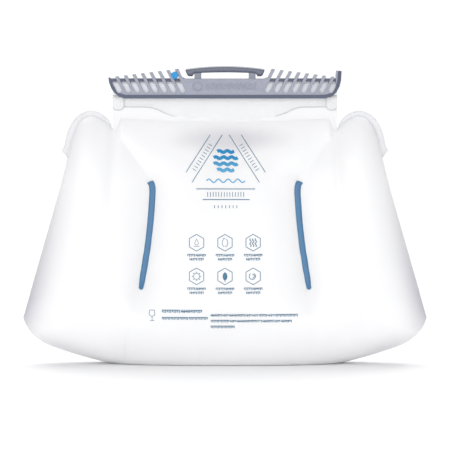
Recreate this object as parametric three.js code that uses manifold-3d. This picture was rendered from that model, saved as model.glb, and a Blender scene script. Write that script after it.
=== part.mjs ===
// A soft hydration bladder for a waist pack, standing on its base, closed by a slide-on clamp.
//
// Two welded films make the bag. Two internal baffles hold the films together along slanted lines, with a
// coloured weld strip over each line. The neck carries two clear mouth strips, folded once towards the
// front, with a stiff rail on each outer face. A C-shaped slider grips the folded mouth and both rails, and
// comes off sideways. A quick-connect outlet port with a shut-off valve is welded to the back.
//
// Millimetres. +Z is up, the front faces -Y, and the origin is the centre of the base.

import * as THREE from 'three';
import { mergeVertices } from 'three/addons/utils/BufferGeometryUtils.js';
import Module from 'manifold-3d';

const wasm = await Module();
wasm.setup();

// ---------------------------------------------------------------- driving dimensions

const CLEARANCE = 0.3;              // between two touching pieces
const GAP = CLEARANCE / 2;          // from the middle plane to each film

const FILM = 0.6;                   // body film thickness
const STRIP_FILM = 0.5;             // mouth strip thickness

const BODY_HALF_WIDTH = 148.2;
const CORNER_Z = 33.5;              // height of the widest point, just above the bottom corner
const KEEL_DROP = 8;                // how far the relaxed bottom would hang below the floor it stands on
const KEEL_RISE = 28.5;             // rise from there to the side, before the corner turns up
const FRONT_DEPTH = 34;             // deepest point of the front film
const BACK_DEPTH = 25;              // deepest point of the back film
const BELLY_SHARE = 0.24;           // share of the height where the bag is deepest
const NECK_SHARE = 0.52;            // share of the half width that belongs to the neck
const NECK_HALF = 76;               // where the neck's side welds begin
const BODY_TOP = 177.5;             // where the body meets the folded mouth, at the middle

const MOUTH_HALF = 82;              // half length of the mouth strips and rails
const NECK_TOP = 192;
const STRIP_WIDTH = 4.7;            // weld strip width

const SLIDER_HALF = 85;
const SLIDER_LOW = 194.4;
const WEB_LOW = 206.4;              // underside of the slider's top web
const WEB_TOP = 208.8;
const WEB_SET_BACK = 1.3;           // from the slider's faces to the web between its fins
const COMB_TOP = 215.7;
const LEG = 1.7;                    // slider wall thickness

const PORT_Z = 42;
const PORT_HEIGHT = 12;             // from the back film to the port's face

// ---------------------------------------------------------------- materials

const filmLook = { color: 0xf4f5f8, roughness: 0.45, transparent: true, opacity: 0.75 };
const clearLook = { color: 0xeef3f8, roughness: 0.12, transparent: true, opacity: 0.4 };
const film = new THREE.MeshStandardMaterial(filmLook);
const clearFilm = new THREE.MeshStandardMaterial(clearLook);
const weldBlue = new THREE.MeshStandardMaterial({ color: 0x5484b0, roughness: 0.5 });
const tagBlue = new THREE.MeshStandardMaterial({ color: 0x08baff, roughness: 0.4 });
const silverPlastic = new THREE.MeshStandardMaterial({ color: 0xb4b8c4, roughness: 0.45, metalness: 0.3 });
const gripPlastic = new THREE.MeshStandardMaterial({ color: 0x6f7486, roughness: 0.3 });
const portPlastic = new THREE.MeshStandardMaterial({ color: 0x8b90a0, roughness: 0.45 });
const sealRubber = new THREE.MeshStandardMaterial({ color: 0x2b2d33, roughness: 0.8 });
const springSteel = new THREE.MeshStandardMaterial({ color: 0xc8c8cc, roughness: 0.3, metalness: 1 });

// ---------------------------------------------------------------- solids and geometry

// The faces that keep three different corners once shared vertices are merged.
function wholeFaces(index) {
  const kept = [];
  for (let i = 0; i < index.length; i += 3) {
    const [a, b, c] = index.slice(i, i + 3);
    if (a !== b && b !== c && c !== a) kept.push(a, b, c);
  }
  return kept;
}

// A closed geometry as a manifold solid, turned to face out.
function solid(geometry) {
  const bare = geometry.clone();
  for (const name of ['normal', 'uv']) bare.deleteAttribute(name);
  const merged = mergeVertices(bare, 1e-4);
  const positions = merged.attributes.position.array;
  const faces = new Uint32Array(wholeFaces(merged.index.array));
  const made = new wasm.Manifold(new wasm.Mesh({ numProp: 3, vertProperties: positions, triVerts: faces }));
  if (made.volume() > 0) return made;
  for (let i = 0; i < faces.length; i += 3) [faces[i + 1], faces[i + 2]] = [faces[i + 2], faces[i + 1]];
  return new wasm.Manifold(new wasm.Mesh({ numProp: 3, vertProperties: positions, triVerts: faces }));
}

function geometryOf(made) {
  const { vertProperties, triVerts, numProp, numVert } = made.getMesh();
  const positions = new Float32Array(numVert * 3);
  for (let i = 0; i < numVert; i++) {
    positions.set(vertProperties.subarray(i * numProp, i * numProp + 3), i * 3);
  }
  const geometry = new THREE.BufferGeometry();
  geometry.setAttribute('position', new THREE.BufferAttribute(positions, 3));
  geometry.setIndex(new THREE.BufferAttribute(new Uint32Array(triVerts), 1));
  geometry.computeVertexNormals();
  return geometry;
}

const bag = new THREE.Group();

function addPart(name, made, material) {
  const mesh = new THREE.Mesh(geometryOf(made), material);
  mesh.name = name;
  bag.add(mesh);
  return mesh;
}

// A box given by its lowest and highest corners.
function block([x0, y0, z0], [x1, y1, z1]) {
  const box = new THREE.BoxGeometry(x1 - x0, y1 - y0, z1 - z0);
  return solid(box.translate((x0 + x1) / 2, (y0 + y1) / 2, (z0 + z1) / 2));
}

// A plate whose outline is drawn in X and Z, from yFront back to yBack.
function plate(shape, yFront, yBack, bevel = 0) {
  const geometry = new THREE.ExtrudeGeometry(shape, {
    depth: yBack - yFront - 2 * bevel,
    curveSegments: 10,
    bevelEnabled: bevel > 0,
    bevelThickness: bevel,
    bevelSize: bevel,
    bevelOffset: -bevel,
    bevelSegments: 2,
  });
  return solid(geometry.rotateX(Math.PI / 2).translate(0, yBack - bevel, 0));
}

// A bar whose section is drawn in Y and Z, from x0 to x1.
function barAlongX(section, x0, x1) {
  const settings = { depth: x1 - x0, bevelEnabled: false, curveSegments: 8 };
  const geometry = new THREE.ExtrudeGeometry(section, settings);
  const turn = new THREE.Matrix4().makeBasis(
    new THREE.Vector3(0, 1, 0), new THREE.Vector3(0, 0, 1), new THREE.Vector3(1, 0, 0));
  return solid(geometry.applyMatrix4(turn).translate(x0, 0, 0));
}

function polygon(points) {
  return new THREE.Shape(points.map(([a, b]) => new THREE.Vector2(a, b)));
}

const lerp = THREE.MathUtils.lerp;
const smoothstep = THREE.MathUtils.smoothstep;

// ---------------------------------------------------------------- the inflated bag

// Bottom edge, from the middle (u = 0) to the corner (u = 1), before the floor flattens it.
const CORNER_START = 0.84;
const KEEL_HALF = 128;
const keelHeight = (x) => KEEL_RISE * (x / BODY_HALF_WIDTH) ** 2.3 - KEEL_DROP;
const cornerCurve = new THREE.QuadraticBezierCurve(
  new THREE.Vector2(KEEL_HALF, keelHeight(KEEL_HALF)),
  new THREE.Vector2(BODY_HALF_WIDTH - 3.2, 19.5),
  new THREE.Vector2(BODY_HALF_WIDTH, CORNER_Z));

function bottomPoint(u) {
  if (u > CORNER_START) return cornerCurve.getPoint((u - CORNER_START) / (1 - CORNER_START));
  const x = KEEL_HALF * u / CORNER_START;
  return new THREE.Vector2(x, keelHeight(x));
}

// Top edge: straight across the neck, then over the puffed shoulder to the notch in the side weld.
const shoulderCurve = new THREE.SplineCurve([
  [NECK_HALF, 180], [80.5, 171], [87, 177], [97, 181.5], [106, 177.5], [111.5, 166], [114.5, 150],
].map(([x, z]) => new THREE.Vector2(x, z)));

function topPoint(u) {
  if (u > NECK_SHARE) return shoulderCurve.getPoint((u - NECK_SHARE) / (1 - NECK_SHARE));
  const share = u / NECK_SHARE;
  return new THREE.Vector2(NECK_HALF * share, lerp(BODY_TOP, 180, share ** 2));
}

// The baffle line on the right half: top, bend and bottom, in X and Z.
const BAFFLE_LINE = [[54.6, 134], [52.8, 126], [55.6, 92], [61.3, 56]].map(([x, z]) => new THREE.Vector2(x, z));
const CREASE_LINE = [[54.6, 137], [66, 152], [79, 168]].map(([x, z]) => new THREE.Vector2(x, z));

function distanceTo(line, x, z) {
  let nearest = Infinity;
  for (let i = 1; i < line.length; i++) {
    const along = line[i].clone().sub(line[i - 1]);
    const from = new THREE.Vector2(x, z).sub(line[i - 1]);
    const share = THREE.MathUtils.clamp(from.dot(along) / along.lengthSq(), 0, 1);
    nearest = Math.min(nearest, from.sub(along.multiplyScalar(share)).length());
  }
  return nearest;
}

// The front part of the baffle's width, which narrows upwards as the bag does.
const baffleDepth = (z) => THREE.MathUtils.mapLinear(z, 56, 134, 21, 11);

// The valley over a baffle runs on past the weld strip's ends and fades out.
const VALLEY_LINE = [new THREE.Vector2(51, 160), ...BAFFLE_LINE, new THREE.Vector2(64, 30)];
const valleyShare = (z) => smoothstep(z, 26, 66) * (1 - smoothstep(z, 122, 160));

const PINCH_REACH = 14;
const CREASE_REACH = 7;
const CREASE_SHARE = 0.35;

// How far the film stands from the middle plane. u runs across from -1 to 1 and v up from 0 to 1.
function filmDepth(u, v, x, z, deepest) {
  const across = Math.abs(u);
  const side = Math.sqrt(Math.max(1 - across ** 3.2, 0));
  const low = Math.min(v / BELLY_SHARE, 1);
  const bottomRoll = Math.sqrt(1 - (1 - low) ** 2);
  const high = Math.max((v - BELLY_SHARE) / (1 - BELLY_SHARE), 0);
  const shoulder = smoothstep(across, 0.5, 0.68);
  const topRoll = Math.max(1 - high ** 2, 0) ** lerp(1.15, 0.5, shoulder);
  let depth = deepest * side * bottomRoll * topRoll;

  const away = Math.max(distanceTo(VALLEY_LINE, Math.abs(x), z) - STRIP_WIDTH / 2, 0);
  const held = Math.min(depth, baffleDepth(z) * deepest / FRONT_DEPTH);
  depth = lerp(depth, held, valleyShare(z) * Math.exp(-away / PINCH_REACH));
  depth *= 1 - CREASE_SHARE * Math.exp(-distanceTo(CREASE_LINE, Math.abs(x), z) / CREASE_REACH);
  return depth + FILM * v * (1 - shoulder);
}

const PORT_FLAT = 26;               // radius of the flat the port is welded to
const PORT_BLEND = 43;
const PORT_SEAT = FRONT_DEPTH - PORT_HEIGHT;

// A point on the outer face of the front (side -1) or back (side 1) film.
function filmPoint(u, v, side) {
  const sign = Math.sign(u) || 1;
  const at = bottomPoint(Math.abs(u)).lerp(topPoint(Math.abs(u)), v);
  const x = sign * at.x;
  let depth = filmDepth(u, v, x, at.y, side < 0 ? FRONT_DEPTH : BACK_DEPTH);
  if (side > 0) {
    const away = Math.hypot(x, at.y - PORT_Z);
    depth = lerp(PORT_SEAT, depth, smoothstep(away, PORT_FLAT, PORT_BLEND));
  }
  return new THREE.Vector3(x, side * (GAP + depth), Math.max(at.y, 0));
}

function filmNormal(u, v, side) {
  const step = 1e-3;
  const inside = (value, low) => THREE.MathUtils.clamp(value, low + step, 1 - step);
  const [uu, vv] = [inside(u, -1), inside(v, 0)];
  const alongU = filmPoint(uu + step, vv, side).sub(filmPoint(uu - step, vv, side));
  const alongV = filmPoint(uu, vv + step, side).sub(filmPoint(uu, vv - step, side));
  const normal = alongU.cross(alongV).normalize();
  return side < 0 ? normal : normal.negate();
}

const COLUMNS = [0, 0.08, 0.16, 0.24, 0.3, 0.34, 0.37, 0.4, 0.44, 0.52, 0.566, 0.65, 0.74, 0.84, 0.88, 0.92,
  0.97, 1];
const ACROSS = [...COLUMNS.slice(1).reverse().map((u) => -u), ...COLUMNS];
const UP = [0, 0.03, 0.07, 0.12, 0.18, 0.24, 0.32, 0.41, 0.54, 0.68, 0.8, 0.88, 0.94, 0.98, 1];

// A point at some offset from the film along its outward normal, kept on the film's own side.
function offsetPoint(u, v, side, offset) {
  const point = filmPoint(u, v, side).addScaledVector(filmNormal(u, v, side), offset);
  point.y = side * Math.max(side * point.y, GAP);
  return point;
}

// The closed body between two sheets of points over the same u and v.
function bodyBetween(firstSheet, secondSheet) {
  const positions = [];
  for (const sheet of [firstSheet, secondSheet]) {
    for (const v of UP) {
      for (const u of ACROSS) positions.push(...sheet(u, v).toArray());
    }
  }
  const [columns, rows] = [ACROSS.length, UP.length];
  const at = (layer, i, j) => layer * columns * rows + j * columns + i;
  const faces = [];
  const quad = (a, b, c, d) => faces.push(a, b, c, a, c, d);
  // The diagonals of the two halves mirror each other.
  const sheetQuad = (i, a, b, c, d) => (i < (columns - 1) / 2 ? quad(a, b, c, d) : quad(b, c, d, a));
  for (let j = 0; j + 1 < rows; j++) {
    for (let i = 0; i + 1 < columns; i++) {
      sheetQuad(i, at(0, i, j), at(0, i + 1, j), at(0, i + 1, j + 1), at(0, i, j + 1));
      sheetQuad(i, at(1, i, j), at(1, i, j + 1), at(1, i + 1, j + 1), at(1, i + 1, j));
    }
  }
  const right = columns - 1;
  const top = rows - 1;
  for (let i = 0; i < right; i++) {
    quad(at(0, i, 0), at(1, i, 0), at(1, i + 1, 0), at(0, i + 1, 0));
    quad(at(0, i + 1, top), at(1, i + 1, top), at(1, i, top), at(0, i, top));
  }
  for (let j = 0; j < top; j++) {
    quad(at(0, right, j), at(1, right, j), at(1, right, j + 1), at(0, right, j + 1));
    quad(at(0, 0, j + 1), at(1, 0, j + 1), at(1, 0, j), at(0, 0, j));
  }
  const geometry = new THREE.BufferGeometry();
  geometry.setAttribute('position', new THREE.Float32BufferAttribute(positions, 3));
  geometry.setIndex(faces);
  return solid(geometry);
}

// A layer that follows the film, between two offsets along its outward normal.
function filmLayer(side, lowOffset, highOffset) {
  return bodyBetween(
    (u, v) => offsetPoint(u, v, side, highOffset),
    (u, v) => offsetPoint(u, v, side, lowOffset));
}

// The flat weld round the shoulders, with its notch tabs, and the neck above it.
function weldRimShape() {
  const outer = [[113.8, 148.5], [119, 156], [116.3, 160], [115, 168], [112.5, 174], [107, 181], [99, 185],
    [90, 182.5], [84.5, 178], [MOUTH_HALF, 173], [MOUTH_HALF, NECK_TOP]];
  const inner = ACROSS.map((u) => {
    const { x, y } = topPoint(Math.abs(u));
    return [Math.sign(u) * x * 0.975, y - 2.5];
  });
  const mirrored = outer.map(([x, z]) => [-x, z]).reverse();
  return polygon([...outer, ...mirrored, ...inner]);
}

function bodyPanel(side) {
  const shell = filmLayer(side, -FILM, 0);
  const faces = [side * GAP, side * (GAP + FILM)].sort((a, b) => a - b);
  return shell.add(plate(weldRimShape(), ...faces));
}

const PORT_HOLE = 10;
const portHole = cylinderAlongY(PORT_HOLE, PORT_SEAT - 8, PORT_SEAT + 8, PORT_Z);
const panels = { front: bodyPanel(-1), back: bodyPanel(1) };
addPart('front_panel', panels.front, film);
addPart('back_panel', panels.back.subtract(portHole), film);

// ---------------------------------------------------------------- baffles and weld strips

// The outline of a ribbon along the baffle line on the right half, narrowed towards its lower tip.
function ribbonShape(halfWidth, tipShare) {
  const line = new THREE.SplineCurve(BAFFLE_LINE);
  const steps = 14;
  const left = [];
  const right = [];
  for (let i = 0; i <= steps; i++) {
    const share = i / steps;
    const at = line.getPoint(share);
    const along = line.getTangent(share);
    const width = halfWidth * lerp(1, tipShare, smoothstep(share, 0.85, 1));
    left.push([at.x - along.y * width, at.y + along.x * width]);
    right.unshift([at.x + along.y * width, at.y - along.x * width]);
  }
  return polygon([...left, ...right]);
}

const mirroredX = (made) => made.scale([-1, 1, 1]);

const BAFFLE_THICKNESS = 0.9;
const INNER = -FILM - CLEARANCE;
const waterSpace = bodyBetween(
  (u, v) => offsetPoint(u, v, -1, INNER),
  (u, v) => offsetPoint(u, v, 1, INNER));

const SLIVER = 0.02;                // the cuts leave no detail finer than this

// The largest piece of a body, once a film and its clearance on one side are cut away.
function clearOf(made, panel, shift) {
  const pieces = made.subtract(panel).subtract(panel.translate([0, shift, 0])).decompose();
  return pieces.reduce((best, piece) => (piece.volume() > best.volume() ? piece : best)).simplify(SLIVER);
}

// The same ribbon, thick in Y, over the left and the right baffle line.
function ribbons(halfWidth, tipShare) {
  const right = plate(ribbonShape(halfWidth, tipShare), -60, 60);
  return { left: mirroredX(right), right };
}

for (const [hand, ribbon] of Object.entries(ribbons(BAFFLE_THICKNESS / 2, 1))) {
  const web = ribbon.intersect(waterSpace);
  const baffle = clearOf(clearOf(web, panels.front, 0.3), panels.back, -0.3);
  addPart(`${hand}_baffle`, baffle, film);
}

const STRIP_THICKNESS = 0.5;
for (const [name, side] of [['front', -1], ['back', 1]]) {
  for (const [hand, ribbon] of Object.entries(ribbons(STRIP_WIDTH / 2, 0.7))) {
    const strip = ribbon.intersect(filmLayer(side, CLEARANCE, CLEARANCE + STRIP_THICKNESS));
    addPart(`${name}_${hand}_weld_strip`, clearOf(strip, panels[name], side * 0.2), weldBlue);
  }
}

// ---------------------------------------------------------------- folded mouth

// Layers of the folded mouth, from the middle plane to the front and to the back.
const FRONT_LEG = -(GAP + FILM + CLEARANCE);               // rear face of the front strip's outer leg
const FRONT_TUCK = FRONT_LEG - STRIP_FILM - CLEARANCE;      // rear face of its tucked leg
const WRAP = FRONT_TUCK - STRIP_FILM - CLEARANCE;           // rear face of the back strip's wrapped leg
const BACK_LEG = GAP + FILM + CLEARANCE;                    // front face of the back strip's leg
const TUCK_TOP = 203.6;
const WRAP_TOP = 205.4;
const FOLD_LOW = 195;                                       // where both folded legs end
const MOUTH_RIGHT = MOUTH_HALF - CLEARANCE;                 // clear of the clamp's closed end

// The front strip's lower edge: a shallow apron in the middle, with rounded tabs at the ends.
function apronShape(top) {
  const right = [[MOUTH_RIGHT, 187.6], [80.6, 186], [75.4, 186], [73.6, 187.9], [56, 187.9], [50, 186.6],
    [44, 183.6], [37, 181], [24, 179.5], [8, 178.8]];
  const left = right.map(([x, z]) => [x === MOUTH_RIGHT ? -MOUTH_HALF : -x, z]);
  return polygon([[MOUTH_RIGHT, top], [-MOUTH_HALF, top], ...left, ...right.reverse()]);
}

const mouthBlock = (y0, z0, y1, z1) => block([-MOUTH_HALF, y0, z0], [MOUTH_RIGHT, y1, z1]);

const frontStrip = plate(apronShape(TUCK_TOP), FRONT_LEG - STRIP_FILM, FRONT_LEG)
  .add(mouthBlock(FRONT_TUCK - STRIP_FILM, TUCK_TOP - STRIP_FILM, FRONT_LEG, TUCK_TOP))
  .add(mouthBlock(FRONT_TUCK - STRIP_FILM, FOLD_LOW, FRONT_TUCK, TUCK_TOP));
addPart('front_mouth_strip', frontStrip, clearFilm);

const backStrip = mouthBlock(BACK_LEG, 180, BACK_LEG + STRIP_FILM, WRAP_TOP)
  .add(mouthBlock(WRAP - STRIP_FILM, WRAP_TOP - STRIP_FILM, BACK_LEG + STRIP_FILM, WRAP_TOP))
  .add(mouthBlock(WRAP - STRIP_FILM, FOLD_LOW, WRAP, WRAP_TOP));
addPart('back_mouth_strip', backStrip, clearFilm);

const RAIL_THICKNESS = 1.8;
const RAIL_LOW = 197;
const RAIL_HIGH = 205.8;
const FRONT_RAIL = WRAP - STRIP_FILM - CLEARANCE;            // rear face of the front rail
const BACK_RAIL = BACK_LEG + STRIP_FILM + CLEARANCE;         // front face of the back rail

// A rail with a chamfer along its two outer edges.
function railSection(face, outward) {
  const outer = face + outward * RAIL_THICKNESS;
  const shy = outer - outward * 0.5;
  return polygon([[face, RAIL_LOW], [shy, RAIL_LOW], [outer, RAIL_LOW + 0.5], [outer, RAIL_HIGH - 0.9],
    [shy, RAIL_HIGH], [face, RAIL_HIGH]]);
}
addPart('front_rail', barAlongX(railSection(FRONT_RAIL, -1), -MOUTH_HALF, MOUTH_RIGHT), portPlastic);
addPart('back_rail', barAlongX(railSection(BACK_RAIL, 1), -MOUTH_HALF, MOUTH_RIGHT), portPlastic);

// ---------------------------------------------------------------- clamp

const INSIDE_FRONT = FRONT_RAIL - RAIL_THICKNESS - CLEARANCE;
const INSIDE_BACK = BACK_RAIL + RAIL_THICKNESS + CLEARANCE;
const CLAMP_FRONT = INSIDE_FRONT - LEG;
const CLAMP_BACK = INSIDE_BACK + LEG;
const LIP_TOP = RAIL_LOW - CLEARANCE;
const LIP_HEIGHT = 2.8;                                     // bevel along the lower edge
const LIP_INSET = 1.4;
const PLATE_TOP = 208.6;
const TAB_TOP = 214.3;

// The clamp's rounded lower ends, from the flat lower edge upwards.
const RIGHT_END = [[73, SLIDER_LOW], [77.5, 195.6], [81, 198.6], [83.5, 203], [84.6, 207.5],
  [SLIDER_HALF, TAB_TOP]];
const LEFT_END = [[-73, SLIDER_LOW], [-77.2, 195.6], [-80.6, 198.4], [-82.8, 201.6], [-84.4, 205.6],
  [-SLIDER_HALF, 209.4]];

// The clamp seen from the front: a saddle under the grip, and a thumb tab at the right end.
const CLAMP_OUTLINE = [
  ...RIGHT_END, [81.2, TAB_TOP], [80.8, 209.7], [34, COMB_TOP], [32.4, 212], [31.2, 209.6],
  [29.4, 208.9], [28, PLATE_TOP], [-28, PLATE_TOP], [-29.4, 208.9], [-31.2, 209.6], [-32.4, 212],
  [-34, COMB_TOP], ...LEFT_END.slice().reverse(),
];

const SLOT_COUNT = 8;
const SLOT_PITCH = 6.6;
const SLOT_WIDTH = 3.8;
const SLOT_LOW = 198.1;
const SLOT_LEAN = THREE.MathUtils.degToRad(27);
const FIRST_SLOT = 32;                                      // half-way up the legs
const SLOT_MIDDLE = 202.3;
const SLOT_END = 80.9;                                      // short of the thumb tab

// A long upright slot with a round lower end, leaned outwards about its mid height.
function slotCut(index) {
  const half = SLOT_WIDTH / 2;
  const low = SLOT_LOW - SLOT_MIDDLE + half;
  const outline = new THREE.Shape();
  outline.moveTo(half, 20);
  outline.lineTo(-half, 20);
  outline.lineTo(-half, low);
  outline.absarc(0, low, half, Math.PI, 2 * Math.PI, false);
  outline.lineTo(half, 20);
  const geometry = new THREE.ExtrudeGeometry(outline, { depth: 30, bevelEnabled: false, curveSegments: 4 });
  geometry.rotateX(Math.PI / 2).translate(0, 15, 0).rotateY(SLOT_LEAN);
  return solid(geometry.translate(FIRST_SLOT + index * SLOT_PITCH, 0, SLOT_MIDDLE));
}

function slotCuts() {
  const right = Array.from({ length: SLOT_COUNT }, (_, index) => slotCut(index));
  const all = wasm.Manifold.union([...right, ...right.map(mirroredX)]);
  return all.intersect(block([-90, -20, 190], [SLOT_END, 20, 230]));
}

const POST = { low: 17.3, high: 22.3, front: -3.1, back: 1.5, top: 214.6 };

function postPair(extra) {
  const right = block(
    [POST.low - extra, POST.front - extra, PLATE_TOP - 1],
    [POST.high + extra, POST.back + extra, POST.top + extra]);
  return right.add(mirroredX(right));
}

// The clamp's outer block, with a wide bevel along its lower edge and round both ends.
function clampBlock() {
  const aboveAll = COMB_TOP + 40;
  const rounded = polygon([...RIGHT_END, [SLIDER_HALF, aboveAll], [-SLIDER_HALF, aboveAll],
    ...LEFT_END.slice().reverse()]);
  const geometry = new THREE.ExtrudeGeometry(rounded, {
    depth: CLAMP_BACK - CLAMP_FRONT - 2 * LIP_INSET,
    bevelThickness: LIP_INSET,
    bevelSize: LIP_HEIGHT,
    bevelOffset: -LIP_HEIGHT,
    bevelSegments: 1,
  });
  const bevelled = solid(geometry.rotateX(Math.PI / 2).translate(0, CLAMP_BACK - LIP_INSET, 0));
  return bevelled.intersect(plate(polygon(CLAMP_OUTLINE), CLAMP_FRONT, CLAMP_BACK));
}

const CLOSED_END = 82;                                      // where the groove for the mouth stops

function clampBody() {
  const outside = clampBlock();
  const groove = block([-90, INSIDE_FRONT, LIP_TOP], [CLOSED_END, INSIDE_BACK, WEB_LOW]);
  const throat = block([-90, FRONT_RAIL, 190], [CLOSED_END, BACK_RAIL, LIP_TOP + 1]);
  const web = outside.intersect(
    block([-90, CLAMP_FRONT + WEB_SET_BACK, WEB_LOW], [90, CLAMP_BACK - WEB_SET_BACK, WEB_TOP]));
  return outside.subtract(slotCuts()).add(web).subtract(groove).subtract(throat).add(postPair(0));
}

addPart('slider_channel', clampBody(), silverPlastic);

const GRIP_HALF = 29.3;

// Points along an arch from -half to half, flat at the middle.
function arch(half, ends, middle, steps) {
  return Array.from({ length: steps + 1 }, (_, i) => {
    const x = lerp(-half, half, i / steps);
    return [x, middle - (middle - ends) * (x / half) ** 2];
  });
}

function gripBar() {
  const underside = arch(22.4, 212.6, 213.2, 12);
  const top = arch(GRIP_HALF, 215.6, 217.8, 16).reverse();
  const foot = [[23.2, 211.5], [25.2, 210.4], [26.6, 210.6], [27.4, 211.9]];
  const mirroredFoot = foot.map(([x, z]) => [-x, z]).reverse();
  return plate(polygon([...underside, ...foot, ...top, ...mirroredFoot]), -5.1, 3.5, 0.5)
    .subtract(postPair(CLEARANCE));
}
addPart('grip_handle', gripBar(), gripPlastic);

// A snap-in plug: a flat head in front of the comb, and a shank in the slot beside the grip.
const PLUG_Z = 211.4;
const PLUG_HEAD = [[-2.2, -1.6], [-1.4, -2.5], [1.4, -2.5], [2.2, -1.6], [2.2, 1.6], [1.4, 2.5], [-1.4, 2.5],
  [-2.2, 1.6]];

function plugBody() {
  const x = FIRST_SLOT + Math.tan(SLOT_LEAN) * (PLUG_Z - SLOT_MIDDLE);
  const headBack = CLAMP_FRONT - CLEARANCE;
  const shankHalf = SLOT_WIDTH / 2 - CLEARANCE;
  return plate(polygon(PLUG_HEAD), headBack - 1.1, headBack)
    .add(block([-shankHalf, headBack - 0.5, -2.1], [shankHalf, CLAMP_FRONT + 7, 2.1]))
    .rotate([0, THREE.MathUtils.radToDeg(SLOT_LEAN), 0])
    .translate([x, 0, PLUG_Z])
    .scale([-1, 1, 1]);
}
addPart('tether_plug', plugBody(), tagBlue);

// ---------------------------------------------------------------- outlet port

// The port is measured outwards from the face of the back film.
const portY = (w) => GAP + PORT_SEAT + w;

function cylinderAlongY(radius, y0, y1, z, x = 0, sides = 32) {
  return solid(new THREE.CylinderGeometry(radius, radius, y1 - y0, sides).translate(x, (y0 + y1) / 2, z));
}

const portDisc = (radius, w0, w1, sides = 32) => cylinderAlongY(radius, portY(w0), portY(w1), PORT_Z, 0, sides);
const fromPort = ([x, w, z]) => [x, portY(w), PORT_Z + z];
const portBlock = (low, high) => block(fromPort(low), fromPort(high));

// A ring turned about the port's axis from a closed profile of radius and depth.
function portRing(profile, sides = 32) {
  const points = [...profile, profile[0]].map(([r, w]) => new THREE.Vector2(r, w));
  return solid(new THREE.LatheGeometry(points, sides).translate(0, portY(0), PORT_Z));
}

function roundRing(radius, thickness, w, sides = 28, around = 8) {
  const profile = Array.from({ length: around }, (_, i) => {
    const turn = 2 * Math.PI * i / around;
    return [radius + thickness * Math.cos(turn), w + thickness * Math.sin(turn)];
  });
  return portRing(profile, sides);
}

const SOCKET = 4.6;                 // socket bore radius
const CHAMBER = 6.2;                // valve chamber radius
const SEAT_BORE = 3.6;
const STEM = 9.3;                   // outside of the stem that passes through the film
const PORT_RADIUS = 15;
const STEM_END = -12;

addPart('port_flange', portRing([[STEM + CLEARANCE, 0.3], [22, 0.3], [22, 0.9], [21.2, 1.5],
  [STEM + CLEARANCE, 1.5]]), portPlastic);

const LATCH = { half: 7, low: -7.4, front: 6.7, back: 9.3, travel: 2.5 };
const BASE_TOP = 9.6;
const POCKET_FLOOR = LATCH.front - CLEARANCE;

function portBase() {
  const bore = portDisc(SOCKET, -0.5, 20)
    .add(portDisc(SEAT_BORE, -3, 0))
    .add(portDisc(CHAMBER, STEM_END - 3, -1.5))
    .add(portDisc(6.1, 3, 5.4));
  const pocket = portBlock([-LATCH.half - CLEARANCE, POCKET_FLOOR, LATCH.low - LATCH.travel - CLEARANCE],
    [LATCH.half + CLEARANCE, 20, 30]);
  const springPocket = portBlock([-1.6, POCKET_FLOOR, -13.3], [1.6, 20, 0]);
  return portDisc(PORT_RADIUS, 1.8, BASE_TOP).add(portDisc(STEM, STEM_END, 2))
    .subtract(bore).subtract(pocket).subtract(springPocket);
}
addPart('port_base', portBase(), portPlastic);

const capRing = portRing([[SOCKET, 9.9], [PORT_RADIUS, 9.9], [PORT_RADIUS, 11.3],
  [PORT_RADIUS - 0.7, PORT_HEIGHT], [SOCKET + 0.7, PORT_HEIGHT], [SOCKET, 11.3]]);
addPart('port_cap', capRing, silverPlastic);
addPart('socket_seal', roundRing(5, 0.9, 4.2), sealRubber);

// The button: a latch plate with a long hole, and a thumb pad above the port body.
function releaseButton() {
  const latch = portBlock([-LATCH.half, LATCH.front, LATCH.low], [LATCH.half, LATCH.back, 18.5]);
  const pad = portBlock([-LATCH.half, 4, 17.8], [LATCH.half, LATCH.back, 20]);
  const low = cylinderAlongY(4.9, portY(5), portY(10), PORT_Z + 1);
  const high = cylinderAlongY(4.9, portY(5), portY(10), PORT_Z + LATCH.travel + 0.1);
  const hole = low.add(high).add(portBlock([-4.9, 5, 1], [4.9, 10, LATCH.travel + 0.1]));
  return latch.add(pad).subtract(hole);
}
addPart('release_button', releaseButton(), tagBlue);

class Helix extends THREE.Curve {
  constructor(radius, length, turns) {
    super();
    Object.assign(this, { radius, length, turns });
  }
  getPoint(share, target = new THREE.Vector3()) {
    const turn = 2 * Math.PI * this.turns * share;
    return target.set(this.radius * Math.cos(turn), this.radius * Math.sin(turn), this.length * share);
  }
}

// A coil spring along +Z from the origin, whose wire keeps inside its length.
function coilSpring(radius, wire, length, turns) {
  const section = new THREE.Shape();
  section.absarc(0, 0, wire, 0, 2 * Math.PI);
  const path = new Helix(radius, length - 2 * wire, turns);
  const geometry = new THREE.ExtrudeGeometry(section, {
    extrudePath: path, steps: Math.round(turns * 12), curveSegments: 3, bevelEnabled: false,
  });
  return solid(geometry.translate(0, 0, wire));
}

addPart('button_spring', coilSpring(1, 0.25, 5, 5).translate([0, portY(8), PORT_Z - 12.9]), springSteel);

// ---------------------------------------------------------------- shut-off valve

const HEAD = { front: -3, back: -5, radius: 5.4 };
const RETAINER = { front: STEM_END - CLEARANCE, thickness: 1.2 };

const poppet = portDisc(HEAD.radius, HEAD.back, HEAD.front, 24)
  .add(portDisc(1.5, HEAD.front - 0.5, 2.4, 16))
  .add(portDisc(1.2, -15.2, HEAD.back + 0.5, 16));
addPart('valve_poppet', poppet, silverPlastic);
addPart('poppet_seal', roundRing(4.5, 0.6, -2.25, 24, 8), sealRubber);

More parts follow.
